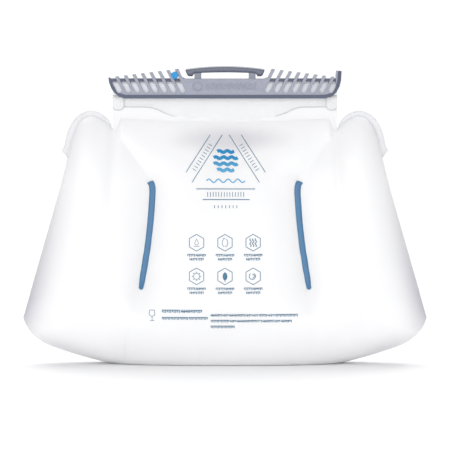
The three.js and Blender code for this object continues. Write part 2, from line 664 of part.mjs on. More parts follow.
function valveRetainer() {
  const disc = portDisc(STEM, RETAINER.front - RETAINER.thickness, RETAINER.front, 28);
  const guide = portDisc(1.5, -20, 0, 16);
  const flow = Array.from({ length: 4 }, (_, index) => {
    const turn = Math.PI / 4 + index * Math.PI / 2;
    return portDisc(1.9, -20, 0, 14).translate([5.2 * Math.cos(turn), 0, 5.2 * Math.sin(turn)]);
  });
  return disc.subtract(guide).subtract(wasm.Manifold.union(flow));
}
addPart('valve_retainer', valveRetainer(), portPlastic);

const poppetSpring = coilSpring(2.6, 0.3, 6.4, 4).rotate([90, 0, 0])
  .translate([0, portY(HEAD.back - CLEARANCE), PORT_Z]);
addPart('poppet_spring', poppetSpring, springSteel);

export default bag;
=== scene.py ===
"""The finished look of the soft hydration bladder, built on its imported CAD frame.

The two welded films, the mouth strips, the weld strips and the prints are modelled here on one fine
surface. The moulded pieces are the CAD pieces with softened edges. Shapes are worked out in millimetres
and become metres as each mesh is made.
"""

import math

import bmesh
import bpy
import numpy as np
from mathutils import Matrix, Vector

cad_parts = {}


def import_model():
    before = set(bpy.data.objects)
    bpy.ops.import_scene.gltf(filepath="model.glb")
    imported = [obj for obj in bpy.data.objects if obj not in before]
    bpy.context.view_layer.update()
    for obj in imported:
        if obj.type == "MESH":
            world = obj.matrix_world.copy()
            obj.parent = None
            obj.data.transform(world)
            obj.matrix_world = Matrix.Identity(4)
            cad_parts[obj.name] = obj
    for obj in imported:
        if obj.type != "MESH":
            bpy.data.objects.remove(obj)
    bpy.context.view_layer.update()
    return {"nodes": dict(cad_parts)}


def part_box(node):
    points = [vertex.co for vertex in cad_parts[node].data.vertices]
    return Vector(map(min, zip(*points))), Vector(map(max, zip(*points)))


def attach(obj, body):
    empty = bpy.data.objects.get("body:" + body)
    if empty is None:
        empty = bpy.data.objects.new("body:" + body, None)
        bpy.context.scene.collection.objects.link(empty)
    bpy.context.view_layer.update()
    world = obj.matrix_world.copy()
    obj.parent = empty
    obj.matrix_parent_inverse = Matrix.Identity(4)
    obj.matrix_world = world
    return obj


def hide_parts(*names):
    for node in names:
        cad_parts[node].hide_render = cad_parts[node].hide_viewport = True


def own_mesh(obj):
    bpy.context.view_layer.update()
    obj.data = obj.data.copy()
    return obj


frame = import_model()

MM = 0.001

# ---------------------------------------------------------------- helpers


def node_box(node):
    """Lowest and highest corner of a CAD node, in millimetres."""
    low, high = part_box(node)
    return [c / MM for c in low], [c / MM for c in high]


def grid_faces(rows, columns):
    """Faces of a grid of points, kept row by row."""
    return [(j * columns + i, j * columns + i + 1, (j + 1) * columns + i + 1, (j + 1) * columns + i)
            for j in range(rows - 1) for i in range(columns - 1)]


def ring_faces(rings, around):
    """Faces between closed rings of points, kept ring by ring."""
    faces = []
    for k in range(rings - 1):
        for i in range(around):
            j = (i + 1) % around
            faces.append((k * around + i, k * around + j, (k + 1) * around + j, (k + 1) * around + i))
    return faces


def new_object(name, vertices, faces, material):
    """A smooth mesh object from points in millimetres, shaded with one material."""
    mesh = bpy.data.meshes.new(name)
    mesh.from_pydata([tuple(float(c) * MM for c in v) for v in vertices], [], faces)
    mesh.validate()
    mesh.update()
    tidy = bmesh.new()
    tidy.from_mesh(mesh)
    bmesh.ops.recalc_face_normals(tidy, faces=tidy.faces)
    tidy.to_mesh(mesh)
    tidy.free()
    mesh.polygons.foreach_set("use_smooth", [True] * len(mesh.polygons))
    mesh.materials.append(material)
    made = bpy.data.objects.new(name, mesh)
    bpy.context.scene.collection.objects.link(made)
    return made


def add_modifier(obj, kind, **settings):
    made = obj.modifiers.new(kind.lower(), kind)
    for key, value in settings.items():
        setattr(made, key, value)
    return made


def apply_modifiers(obj):
    """Turns what the modifiers show into the object's own mesh."""
    shown = obj.evaluated_get(bpy.context.evaluated_depsgraph_get())
    mesh = bpy.data.meshes.new_from_object(shown)
    obj.modifiers.clear()
    obj.data = mesh


def finished(obj, body, slot, *nodes):
    """obj rides on a body and stands for these CAD nodes, which it hides; slot is not used."""
    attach(obj, body)
    if nodes:
        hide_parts(*nodes)
    return obj


# ---------------------------------------------------------------- materials


class Shader:
    """A Principled material with short helpers for its node tree."""

    def __init__(self, name, **sockets):
        self.material = bpy.data.materials.new(name)
        self.material.use_nodes = True
        self.nodes = self.material.node_tree.nodes
        self.links = self.material.node_tree.links
        self.main = self.nodes["Principled BSDF"]
        for label, value in sockets.items():
            self.main.inputs[label.replace("_", " ")].default_value = value

    def add(self, kind, inputs=None, **settings):
        made = self.nodes.new(kind)
        for key, value in settings.items():
            setattr(made, key, value)
        for label, value in (inputs or {}).items():
            socket = made.inputs[label] if isinstance(label, int) else self.socket(made, label)
            if isinstance(value, bpy.types.NodeSocket):
                self.links.new(value, socket)
            else:
                socket.default_value = value
        return made

    @staticmethod
    def socket(node, label):
        """The node's usable input of that name: a Mix node has one for each kind of data."""
        return next(s for s in node.inputs if s.name == label and s.enabled)

    @staticmethod
    def output(node, label):
        return next(s for s in node.outputs if s.name == label and s.enabled)

    def place(self):
        return self.add("ShaderNodeTexCoord").outputs["Object"]

    def noise(self, scale, detail=3.0, stretch=(1, 1, 1)):
        at = self.add("ShaderNodeMapping", {"Vector": self.place(), "Scale": stretch})
        return self.add("ShaderNodeTexNoise", {
            "Vector": at.outputs["Vector"], "Scale": scale, "Detail": detail}).outputs["Fac"]

    def ramp(self, factor, *stops):
        made = self.add("ShaderNodeValToRGB", {"Fac": factor})
        ramp = made.color_ramp
        while len(ramp.elements) < len(stops):
            ramp.elements.new(0.5)
        for element, (place, colour) in zip(ramp.elements, stops):
            element.position = place
            element.color = (*colour, 1) if len(colour) == 3 else colour
        return made.outputs["Color"]

    def spot(self, centre, reach, ragged):
        """1 at centre, fading to 0 at reach along each axis, with an uneven edge."""
        shifted = self.add("ShaderNodeVectorMath", {0: self.place(), 1: centre}, operation="SUBTRACT")
        scaled = self.add("ShaderNodeVectorMath", {0: shifted.outputs[0], 1: [1 / r for r in reach]},
                          operation="MULTIPLY")
        away = self.add("ShaderNodeVectorMath", {0: scaled.outputs[0]}, operation="LENGTH")
        uneven = self.add("ShaderNodeMath", {0: away.outputs["Value"], 1: ragged}, operation="ADD")
        return self.add("ShaderNodeMapRange", {
            "Value": uneven.outputs[0], "From Min": 1.6, "From Max": 0.5},
            interpolation_type="SMOOTHSTEP").outputs["Result"]

    def near_edge(self, value, start, end):
        """0 up to start, then rising ever faster to 1 at end."""
        share = self.add("ShaderNodeMapRange", {
            "Value": value, "From Min": start, "From Max": end}).outputs["Result"]
        return self.add("ShaderNodeMath", {0: share, 1: 2.6}, operation="POWER").outputs[0]

    def mix(self, factor, first, second):
        """first where factor is 0, and the colour second where it is 1."""
        made = self.add("ShaderNodeMix", {"Factor": factor, "A": first, "B": (*second, 1)}, data_type="RGBA")
        return self.output(made, "Result")

    def range(self, factor, low, high):
        return self.add("ShaderNodeMapRange", {
            "Value": factor, "To Min": low, "To Max": high}).outputs["Result"]

    def to(self, label, socket):
        self.links.new(socket, self.main.inputs[label])
        return self

    def bump(self, height, strength, distance=0.0005):
        made = self.add("ShaderNodeBump", {
            "Height": height, "Strength": strength, "Distance": distance})
        return self.to("Normal", made.outputs["Normal"])


def srgb(red, green, blue):
    """A screen colour of 0 to 255 as linear light."""
    def linear(c):
        c /= 255
        return c / 12.92 if c <= 0.04045 else ((c + 0.055) / 1.055) ** 2.4
    return linear(red), linear(green), linear(blue)


def film_material():
    """Frosted film: a milky body with a soft gloss and faint ripples.

    Painted shade greys it in a soft patch just below the neck, and towards the side welds and bottom corners.
    """
    made = Shader("film_frosted", Roughness=0.34, IOR=1.45, Subsurface_Weight=0.25, Subsurface_Scale=0.02,
                  Coat_Weight=0.2, Coat_Roughness=0.3)
    made.main.inputs["Subsurface Radius"].default_value = (1.0, 1.0, 1.0)
    cloud = made.noise(9, 4)
    milky = made.ramp(cloud, (0.3, srgb(251, 251, 253)), (0.7, srgb(254, 254, 255)))
    # painted shade: a grey patch on the film just below the neck, where the slider and the mouth strips shade
    # it
    painted_neck_shade = made.spot((0.004, 0, 0.1645), (0.05, 1.0, 0.0115), cloud)
    neck = made.mix(painted_neck_shade, milky, srgb(223, 222, 227))

    # painted shade: the film greys towards its side edges, less so higher up, and towards its bottom corners
    at = made.add("ShaderNodeSeparateXYZ", {"Vector": made.place()}).outputs
    out = made.add("ShaderNodeMath", {0: at["X"]}, operation="ABSOLUTE").outputs[0]
    slope = made.add("ShaderNodeMath", {
        0: at["Z"], 1: SIDE_SLOPE, 2: out}, operation="MULTIPLY_ADD").outputs[0]
    side = made.near_edge(slope, SIDE_AT_FLOOR - SHADE_REACH, SIDE_AT_FLOOR)
    weaker = made.add("ShaderNodeMapRange", {
        "Value": at["Z"], "From Min": 0.05, "From Max": 0.13, "To Min": 1.0, "To Max": 0.3}).outputs["Result"]
    side = made.add("ShaderNodeMath", {0: side, 1: weaker}, operation="MULTIPLY").outputs[0]
    share = made.add("ShaderNodeMath", {0: out, 1: BODY_HALF * MM}, operation="DIVIDE").outputs[0]
    bend = made.add("ShaderNodeMath", {0: share, 1: KEEL_POWER}, operation="POWER").outputs[0]
    above = made.add("ShaderNodeMath", {
        0: bend, 1: -KEEL_RISE * MM, 2: at["Z"]}, operation="MULTIPLY_ADD").outputs[0]
    low = made.near_edge(above, 0.018, -KEEL_DROP * MM)
    outer = made.add("ShaderNodeMapRange", {
        "Value": out, "From Min": 0.085, "From Max": 0.125, "To Max": 0.6},
        interpolation_type="SMOOTHSTEP").outputs["Result"]
    corner = made.add("ShaderNodeMath", {0: low, 1: outer}, operation="MULTIPLY").outputs[0]
    painted_edge_shade = made.add("ShaderNodeMath", {0: side, 1: corner}, operation="MAXIMUM").outputs[0]
    # mixes the painted edge shade into the film colour, towards grey (188, 187, 195)
    made.to("Base Color", made.mix(painted_edge_shade, neck, srgb(188, 187, 195)))
    made.to("Roughness", made.range(made.noise(40, 3), 0.28, 0.42))
    made.to("Alpha", made.range(cloud, 0.92, 0.97))
    ripple = made.noise(22, 5, (1, 1, 0.6))
    return made.bump(ripple, 0.1, 0.002).material


def rim_material():
    """Thin welded edge: flatter and a little clearer than the inflated film."""
    made = Shader("film_weld_edge", Roughness=0.35, IOR=1.4, Coat_Weight=0.1)
    made.to("Base Color", made.ramp(made.noise(60), (0.3, srgb(236, 236, 240)), (0.7, srgb(243, 243, 246))))
    made.to("Alpha", made.range(made.noise(40, 2), 0.6, 0.75))
    return made.bump(made.noise(300, 1), 0.05, 0.0002).material


def clear_material():
    """Clear mouth strip: glossy and almost colourless."""
    made = Shader("film_clear", Roughness=0.1, IOR=1.3, Coat_Weight=0.3, Coat_Roughness=0.05)
    made.to("Base Color", made.ramp(made.noise(30), (0.3, srgb(249, 252, 254)), (0.7, srgb(254, 255, 255))))
    made.to("Alpha", made.range(made.noise(50, 2), 0.1, 0.16))
    return made.bump(made.noise(35, 3, (0.4, 1, 1)), 0.06, 0.001).material


def plastic_material(name, colour, roughness=0.42, fleck=0.0, grain=0.15, coat=0.0):
    """Moulded plastic with a fine grain and, if asked, pale and dark flecks."""
    made = Shader(name, Roughness=roughness, IOR=1.46, Coat_Weight=coat, Coat_Roughness=0.12)
    speck = made.noise(2600, 2)
    dark = tuple(c * (1 - fleck) for c in colour)
    pale = tuple(min(c * (1 + fleck * 0.7), 1) for c in colour)
    made.to("Base Color", made.ramp(speck, (0.36, dark), (0.5, colour), (0.64, pale)))
    made.to("Roughness", made.range(made.noise(180), roughness - 0.06, roughness + 0.08))
    return made.bump(made.noise(1500, 2), grain, 0.0001).material


def print_material(name, low, high, fade=None):
    """Printing ink, semi-gloss: a little uneven, or fading from low to high between two heights."""
    made = Shader(name, Roughness=0.45)
    mottle = made.noise(300, 2)
    if fade:
        height = made.add("ShaderNodeSeparateXYZ", {"Vector": made.place()}).outputs["Z"]
        mottle = made.add("ShaderNodeMapRange", {
            "Value": height, "From Min": fade[0], "From Max": fade[1]}).outputs["Result"]
    made.to("Base Color", made.ramp(mottle, (0.3, low), (0.7, high)))
    made.to("Roughness", made.range(made.noise(700), 0.38, 0.55))
    return made.material


def steel_material():
    made = Shader("spring_wire", Metallic=1.0, Roughness=0.28)
    made.to("Base Color", made.ramp(made.noise(800), (0.3, (0.55, 0.55, 0.57)), (0.7, (0.75, 0.75, 0.77))))
    return made.bump(made.noise(1200, 2), 0.1, 0.0001).material


BODY_HALF = 148.2                   # millimetres, as are the keel's figures
KEEL_RISE = 28.5
KEEL_DROP = 8.0
KEEL_POWER = 2.3
SIDE_SLOPE = 0.289                  # how far the side edge leans in for each metre of height
SIDE_AT_FLOOR = 0.158               # where its line would meet the floor, in metres
SHADE_REACH = 0.034                 # how far in from the side the painted shade reaches, in metres
FILM = film_material()
RIM = rim_material()
CLEAR = clear_material()
EDGE = plastic_material("film_edge", srgb(186, 190, 200), 0.25, 0.03, 0.05, 0.4)
PALE_EDGE = plastic_material("film_pale_edge", srgb(226, 227, 231), 0.35, 0.03, 0.05, 0.2)
# painted shade: the darker grey for the clamp's under-turned lip and its set-back web
LIP_PAINTED_SHADE = plastic_material("clamp_lip_painted_shade", srgb(92, 98, 118), 0.4, 0.1, 0.25)
WELD_BLUE = plastic_material("weld_blue", srgb(66, 118, 160), 0.4, 0.05, 0.1, 0.25)
TAG_BLUE = plastic_material("tag_blue", srgb(0, 146, 214), 0.35, 0.03, 0.1, 0.2)
CLAMP_GREY = plastic_material("clamp_silver", srgb(160, 163, 178), 0.38, 0.3, 0.35)
GRIP_GREY = plastic_material("grip_dark", srgb(92, 97, 116), 0.26, 0.06, 0.06, 0.6)
PORT_GREY = plastic_material("port_grey", srgb(150, 154, 166), 0.42, 0.06, 0.25)
RAIL_GREY = plastic_material("rail_white", srgb(232, 235, 240), 0.45, 0.04, 0.2)
SEAL_BLACK = plastic_material("seal_black", srgb(38, 40, 44), 0.65, 0.1, 0.3)
WIRE = steel_material()
INK = print_material("ink_slate", srgb(52, 104, 136), srgb(70, 122, 152))
INK_BRIGHT = print_material("ink_bright", srgb(88, 168, 212), srgb(6, 136, 192), (0.134, 0.160))

# ---------------------------------------------------------------- the film's surface, in millimetres

GAP = 0.15
FILM_THICK = 0.6
KEEL_HALF = 128.0
CORNER_START = 0.84
CORNER_Z = 33.5
FRONT_DEPTH = 34.0
BACK_DEPTH = 25.0
BELLY = 0.24
NECK_SHARE = 0.52
NECK_HALF = 76.0
MOUTH_HALF = 82.0
STRIP_WIDTH = 4.7
PORT_Z = 42.0
PORT_SEAT = 22.0
SHOULDER = [(76, 180), (80.5, 171), (87, 177), (97, 181.5), (106, 177.5), (111.5, 166), (114.5, 150)]
BAFFLE = [(54.6, 134), (52.8, 126), (55.6, 92), (61.3, 56)]
VALLEY = [(51, 160), *BAFFLE, (64, 30)]
CREASE = [(54.6, 137), (66, 152), (79, 168)]
# each dimple's X, Z, width, height and depth
DIMPLES = ((-73, 13, 1.6, 11, 1.6), (66, 24, 1.5, 9, 1.0), (-20, 6, 2.5, 7, 0.5))
PORT_HOLE = 12.0
PORT_FLAT = 26.0                    # radius of the flat seat, which blends into the film by PORT_BLEND
PORT_BLEND = 43.0


def lerp(a, b, t):
    return a + (b - a) * t


def smoothstep(x, low, high):
    t = np.clip((x - low) / (high - low), 0, 1)
    return t * t * (3 - 2 * t)


def spline(points, share):
    """A uniform Catmull-Rom curve through points, at shares from 0 to 1."""
    points = np.asarray(points, float)
    share = np.asarray(share, float)
    at = np.clip(share, 0, 1) * (len(points) - 1)
    cell = np.minimum(at.astype(int), len(points) - 2)
    t = (at - cell)[..., None]
    p1, p2 = points[cell], points[cell + 1]
    p0 = points[np.maximum(cell - 1, 0)]
    p3 = points[np.minimum(cell + 2, len(points) - 1)]
    m1, m2 = (p2 - p0) / 2, (p3 - p1) / 2
    return ((2 * t**3 - 3 * t**2 + 1) * p1 + (t**3 - 2 * t**2 + t) * m1
            + (3 * t**2 - 2 * t**3) * p2 + (t**3 - t**2) * m2)


def keel(x):
    return KEEL_RISE * (x / BODY_HALF) ** KEEL_POWER - KEEL_DROP


def bottom_edge(u):
    """X and Z of the bottom edge, before the floor flattens it."""
    straight = KEEL_HALF * u / CORNER_START
    t = np.clip((u - CORNER_START) / (1 - CORNER_START), 0, 1)
    ends = [(KEEL_HALF, keel(KEEL_HALF)), (BODY_HALF - 3.2, 19.5), (BODY_HALF, CORNER_Z)]
    round_x, round_z = ((1 - t) ** 2 * a + 2 * t * (1 - t) * b + t**2 * c for a, b, c in zip(*ends))
    corner = u > CORNER_START
    return np.where(corner, round_x, straight), np.where(corner, round_z, keel(straight))


def top_edge(u):
    """X and Z of the top edge: across the neck, then over the shoulder."""
    share = np.minimum(u / NECK_SHARE, 1)
    over = spline(SHOULDER, (u - NECK_SHARE) / (1 - NECK_SHARE))
    neck = u <= NECK_SHARE
    return (np.where(neck, NECK_HALF * share, over[..., 0]),
            np.where(neck, lerp(177.5, 180, share**2), over[..., 1]))


def distance_to(line, x, z):
    """Distance in the XZ plane from each point to a bent line."""
    line = np.asarray(line, float)
    nearest = np.full(np.shape(x), np.inf)
    for (ax, az), (bx, bz) in zip(line, line[1:]):
        along = (bx - ax, bz - az)
        share = ((x - ax) * along[0] + (z - az) * along[1]) / (along[0] ** 2 + along[1] ** 2)
        share = np.clip(share, 0, 1)
        nearest = np.minimum(nearest, np.hypot(x - ax - share * along[0], z - az - share * along[1]))
    return nearest


def film_depth(u, v, x, z, deepest):
    """How far the film stands from the middle plane."""
    across = np.abs(u)
    side = np.sqrt(np.maximum(1 - across**3.2, 0))
    low = np.minimum(v / BELLY, 1)
    bottom_roll = np.sqrt(np.maximum(1 - (1 - low) ** 2, 0))
    high = np.maximum((v - BELLY) / (1 - BELLY), 0)
    shoulder = smoothstep(across, 0.42, 0.84)
    top_roll = np.maximum(1 - high**2, 0) ** lerp(1.15, 0.5, shoulder)
    depth = deepest * side * bottom_roll * top_roll

    away = np.maximum(distance_to(VALLEY, np.abs(x), z) - STRIP_WIDTH / 2, 0)
    held = lerp(21, 11, (z - 56) / (134 - 56)) * deepest / FRONT_DEPTH
    share = smoothstep(z, 26, 66) * (1 - smoothstep(z, 122, 160)) * np.exp(-away / 14)
    depth = lerp(depth, np.minimum(depth, held), share)
    depth = depth * (1 - 0.35 * np.exp(-distance_to(CREASE, np.abs(x), z) / 7))
    return depth + FILM_THICK * v * (1 - shoulder)


def puckers(x, z, side):
    """Small wrinkles: soft folds below the neck, a faint drape, and short dimples low down."""
    folds = 0.5 * np.sin(x * 0.16 + 0.4 * np.sin(z * 0.07)) * np.exp(-((z - 162) / 16) ** 2)
    drape = 0.35 * np.sin(x * 0.09 + z * 0.05 + side) * np.exp(-((z - 100) / 60) ** 2)
    dimples = 0.0
    for at_x, at_z, width, tall, deep in DIMPLES:
        dimples = dimples + deep * np.exp(-((x - at_x) / width) ** 2 - ((z - at_z) / tall) ** 2)
    return folds + drape - (dimples if side < 0 else dimples * 0.6)


def film_point(u, v, side):
    """Points on the outer face of the front (-1) or back (1) film, as X, Y and Z arrays."""
    across = np.abs(u)
    bottom_x, bottom_z = bottom_edge(across)
    top_x, top_z = top_edge(across)
    x = np.sign(u) * lerp(bottom_x, top_x, v)
    z = lerp(bottom_z, top_z, v)
    deepest = FRONT_DEPTH if side < 0 else BACK_DEPTH
    depth = film_depth(u, v, x, z, deepest)
    depth = depth + puckers(x, z, side) * np.clip(depth / 12, 0, 1)
    depth = np.minimum(depth, deepest)
    if side > 0:
        near = smoothstep(np.hypot(x, z - PORT_Z), PORT_FLAT, PORT_BLEND)
        depth = lerp(PORT_SEAT, depth, near)
    return x, side * (GAP + depth), np.maximum(z, 0)


def uv_of(x, z):
    """u and v of points on the middle part of the film, from X and Z."""
    x, z = np.asarray(x, float), np.asarray(z, float)
    v = (z + 8) / 185.5
    for _ in range(6):
        u = x / lerp(KEEL_HALF / CORNER_START, NECK_HALF / NECK_SHARE, v)
        low, high = bottom_edge(np.abs(u))[1], top_edge(np.abs(u))[1]
        v = (z - low) / (high - low)
    return u, v


def on_film(x, z, side, lift=0.0):
    """Points over the film at X and Z, lifted along its outward normal."""
    u, v = uv_of(x, z)
    step = 1e-3
    point = np.stack(film_point(u, v, side), -1)
    along_u = np.stack(film_point(u + step, v, side), -1) - np.stack(film_point(u - step, v, side), -1)
    along_v = np.stack(film_point(u, v + step, side), -1) - np.stack(film_point(u, v - step, side), -1)
    normal = np.cross(along_u, along_v)
    normal /= np.linalg.norm(normal, axis=-1, keepdims=True)
    return point - side * lift * normal


# ---------------------------------------------------------------- body films

COLUMNS = 220
ROWS = 150


def eased(count):
    """Shares from 0 to 1, closer together at both ends."""
    return 0.5 - 0.5 * np.cos(np.pi * np.linspace(0, 1, count))


def body_film(name, side, node):
    """One inflated film, front (-1) or back (1), with a hole for the outlet in the back."""
    half = np.sin(np.linspace(0, 1, COLUMNS // 2 + 1) * math.pi / 2)
    u = np.concatenate([-half[:0:-1], half])
    v = eased(ROWS)
    grid_u, grid_v = np.meshgrid(u, v)
    points = np.stack(film_point(grid_u, grid_v, side), -1)
    rows, columns = grid_u.shape
    if side > 0:
        hole = np.hypot(points[..., 0], points[..., 2] - PORT_Z) < PORT_HOLE
    else:
        hole = np.zeros(grid_u.shape, bool)
    faces = []
    for j in range(rows - 1):
        for i in range(columns - 1):
            if hole[j, i] and hole[j + 1, i] and hole[j, i + 1] and hole[j + 1, i + 1]:
                continue
            a = j * columns + i
            faces.append((a, a + 1, a + columns + 1, a + columns))
    made = new_object(name, points.reshape(-1, 3), faces, FILM)
    return finished(made, "bladder", "film", node)


for film_name, film_side, film_node in (("film_front", -1, "front_panel"), ("film_back", 1, "back_panel")):
    body_film(film_name, film_side, film_node)

# ---------------------------------------------------------------- weld rim, neck and mouth


def sheet_object(name, outline, y_low, y_high, material, bevel=0.15):
    """A thin sheet with an outline in X and Z, between two depths, with its edge softened."""
    mesh = bmesh.new()
    corners = [mesh.verts.new((x * MM, y_low * MM, z * MM)) for x, z in outline]
    face = mesh.faces.new(corners)
    grown = bmesh.ops.extrude_face_region(mesh, geom=[face])
    moved = [item for item in grown["geom"] if isinstance(item, bmesh.types.BMVert)]
    bmesh.ops.translate(mesh, verts=moved, vec=(0, (y_high - y_low) * MM, 0))
    bmesh.ops.recalc_face_normals(mesh, faces=mesh.faces)
    data = bpy.data.meshes.new(name)
    mesh.to_mesh(data)
    mesh.free()
    data.materials.append(material)
    made = bpy.data.objects.new(name, data)
    bpy.context.scene.collection.objects.link(made)
    if bevel:
        add_modifier(made, "BEVEL", width=bevel * MM, segments=2, limit_method="ANGLE")
        apply_modifiers(made)
    return made


def bead(name, points, radius, material, body):
    """A round bead of one radius along points, all in millimetres."""
    curve = bpy.data.curves.new(name, "CURVE")
    curve.dimensions = "3D"
    curve.bevel_depth = radius * MM
    curve.bevel_resolution = 2
    curve.use_fill_caps = True
    line = curve.splines.new("POLY")
    line.points.add(len(points) - 1)
    for point, at in zip(line.points, points):
        point.co = (*(c * MM for c in at), 1)
    curve.materials.append(material)
    made = bpy.data.objects.new(name, curve)
    bpy.context.scene.collection.objects.link(made)
    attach(made, body)
    return made


RIM_OUTER = [(114.6, 150), (116.6, 153.2), (119, 156), (117.3, 159.4), (116.2, 164), (114.6, 170),
             (111.5, 176.5), (107, 181.6), (100, 184.8), (93, 184), (87.5, 180.5), (84.3, 176.2), (82.4, 172)]


def shoulder_rim(name, hand):
    """The flat weld over one shoulder, with its notch tab."""
    inner_u = np.linspace(1, NECK_SHARE + 0.06, 40)
    inner_x, inner_z = top_edge(inner_u)
    outer = spline(RIM_OUTER[2:], np.linspace(0, 1, 60))
    outline = [*RIM_OUTER[:2], *outer, *reversed(list(zip(inner_x * 0.99, inner_z - 1.2)))]
    edge = [(hand * x, 0, z) for x, z in [*RIM_OUTER[:2], *outer[:-3]]]
    bead(f"{name}_edge", edge, 0.4, PALE_EDGE, "bladder")
    made = sheet_object(name, [(hand * x, z) for x, z in outline], -0.35, 0.35, RIM, 0.12)
    return finished(made, "bladder", "film")


for rim_name, rim_hand in (("weld_rim_left", -1), ("weld_rim_right", 1)):
    shoulder_rim(rim_name, rim_hand)

NECK_HIGH = 201.0
NECK_EDGE = 0.96                    # share of the neck's half width where its low edge dips
NECK_DIP = 11.0


def neck_sheet(name, side):
    """The flattened neck of one film, from the shoulder notches up into the clamp."""
    columns = np.linspace(-MOUTH_HALF, MOUTH_HALF, 83)
    rows = np.linspace(0, 1, 14)
    vertices = []
    for row in rows:
        for x in columns:
            share = abs(x) / NECK_HALF
            dip = NECK_DIP * max(share - NECK_EDGE, 0) / (MOUTH_HALF / NECK_HALF - NECK_EDGE)
            low = lerp(177.2, 179.6, min(share, 1) ** 2) - dip
            z = lerp(low, NECK_HIGH, row)
            depth = GAP + FILM_THICK + 0.25 * math.sin(x * 0.12) ** 2 * (1 - row) ** 2
            vertices.append((x, side * depth, z))
    made = new_object(name, vertices, grid_faces(len(rows), len(columns)), FILM)
    return finished(made, "bladder", "film")


neck_sheet("neck_front", -1)
neck_sheet("neck_back", 1)

TAB_EDGE = [(81.7, 187.6), (80.6, 186.2), (79, 185.8), (76.6, 185.8), (74.8, 186.6), (73.6, 188), (64, 188),
            (56, 187.8), (50, 186.4), (44, 183.6), (37, 181.2)]


def softened(name, node, materials, bevel, paint=None):
    """A copy of a CAD piece with its flat faces merged and its edges softened.

    paint gives the place in materials for a face, from its centre in millimetres and its normal.
    """
    data = frame["nodes"][node].data.copy()
    data.name = name
    data.materials.clear()
    for material in materials:
        data.materials.append(material)
    mesh = bmesh.new()
    mesh.from_mesh(data)
    bmesh.ops.remove_doubles(mesh, verts=mesh.verts, dist=1e-6)
    bmesh.ops.dissolve_limit(mesh, angle_limit=math.radians(2), verts=mesh.verts, edges=mesh.edges)
    for face in mesh.faces:
        face.smooth = True
        face.material_index = paint(face.calc_center_median() / MM, face.normal) if paint else 0
    mesh.to_mesh(data)
    mesh.free()
    made = bpy.data.objects.new(name, data)
    bpy.context.scene.collection.objects.link(made)
    if bevel:
        add_modifier(made, "BEVEL", width=bevel * MM, segments=2, limit_method="ANGLE",
                     angle_limit=math.radians(32), harden_normals=True)
        apply_modifiers(made)
    return made


def refined(name, node, body, material, slot, bevel=0.3):
    return finished(softened(name, node, [material], bevel), body, slot, node)


refined("mouth_strip_front", "front_mouth_strip", "bladder", CLEAR, "clear_film", 0.12)
refined("mouth_strip_back", "back_mouth_strip", "bladder", CLEAR, "clear_film", 0.12)

STRIP_FACE = node_box("front_mouth_strip")[0][1] + 0.8      # front face of the visible leg
SEAM_X = 73.7
for edge_name, edge_hand in (("left", -1), ("right", 1)):
    tab_edge = spline(TAB_EDGE, np.linspace(0, 1, 70))
    bead(f"mouth_tab_edge_{edge_name}", [(edge_hand * x, STRIP_FACE - 0.05, z) for x, z in tab_edge],
         0.2, EDGE, "bladder")
for seam_name, seam_x in (("left", -SEAM_X), ("right", SEAM_X)):
    seam = [(seam_x, STRIP_FACE - 0.05, z) for z in np.linspace(188, 196, 9)]
    bead(f"mouth_seam_{seam_name}", seam, 0.16, EDGE, "bladder")

refined("rail_front", "front_rail", "bladder", RAIL_GREY, "rail_plastic", 0.2)
refined("rail_back", "back_rail", "bladder", RAIL_GREY, "rail_plastic", 0.2)

# ---------------------------------------------------------------- baffles and weld strips


def ribbon_rows(half_width, tip_share, steps, across):
    """Rows of X and Z points across the right baffle line, from its top to its lower tip."""
    share = np.linspace(0, 1, steps)
    line = spline(BAFFLE, share)
    ahead = spline(BAFFLE, np.minimum(share + 1e-3, 1)) - spline(BAFFLE, np.maximum(share - 1e-3, 0))
    ahead /= np.linalg.norm(ahead, axis=1, keepdims=True)
    normal = np.stack([-ahead[:, 1], ahead[:, 0]], 1)
    width = half_width * lerp(1, tip_share, smoothstep(share, 0.85, 1))
    width *= np.sqrt(np.clip(1 - (1 - np.minimum(share / 0.02, 1)) ** 2, 0.05, 1))
    width *= np.sqrt(np.clip(1 - (1 - np.minimum((1 - share) / 0.02, 1)) ** 2, 0.05, 1))
    return line[:, None, :] + normal[:, None, :] * (width[:, None] * across[None, :])[..., None]


def weld_strip(name, side, hand, node):
    """A pillowed ribbon that follows the film over a baffle."""
    across = np.linspace(-1, 1, 9)
    flat = ribbon_rows(STRIP_WIDTH / 2, 0.7, 90, across)
    crown = 0.25 + 0.55 * np.sqrt(np.clip(1 - across**2, 0, 1))
    points = on_film(hand * flat[..., 0], flat[..., 1], side)
    raised = on_film(hand * flat[..., 0], flat[..., 1], side, 1.0)
    points = points + (raised - points) * crown[None, :, None]
    made = new_object(name, points.reshape(-1, 3), grid_faces(*flat.shape[:2]), WELD_BLUE)
    add_modifier(made, "SOLIDIFY", thickness=0.3 * MM, offset=-1)
    apply_modifiers(made)
    return finished(made, "bladder", "weld_blue", node)


def baffle(name, hand, node):
    """The web inside the bladder, between the two films."""
    line = spline(BAFFLE, np.linspace(0, 1, 60))
    x, z = hand * line[:, 0], line[:, 1]
    front = on_film(x, z, -1, -1.0)
    back = on_film(x, z, 1, -1.0)
    shares = np.linspace(0, 1, 13)
    points = np.array([[lerp(a, b, t) for t in shares] for a, b in zip(front, back)])
    made = new_object(name, points.reshape(-1, 3), grid_faces(len(line), len(shares)), FILM)
    add_modifier(made, "SOLIDIFY", thickness=0.8 * MM, offset=0)
    apply_modifiers(made)
    return finished(made, "bladder", "film", node)


for hand_name, hand in (("left", -1), ("right", 1)):
    baffle(f"baffle_{hand_name}", hand, f"{hand_name}_baffle")
    for side_name, side in (("front", -1), ("back", 1)):
        weld_strip(f"weld_{side_name}_{hand_name}", side, hand, f"{side_name}_{hand_name}_weld_strip")

# ---------------------------------------------------------------- clamp

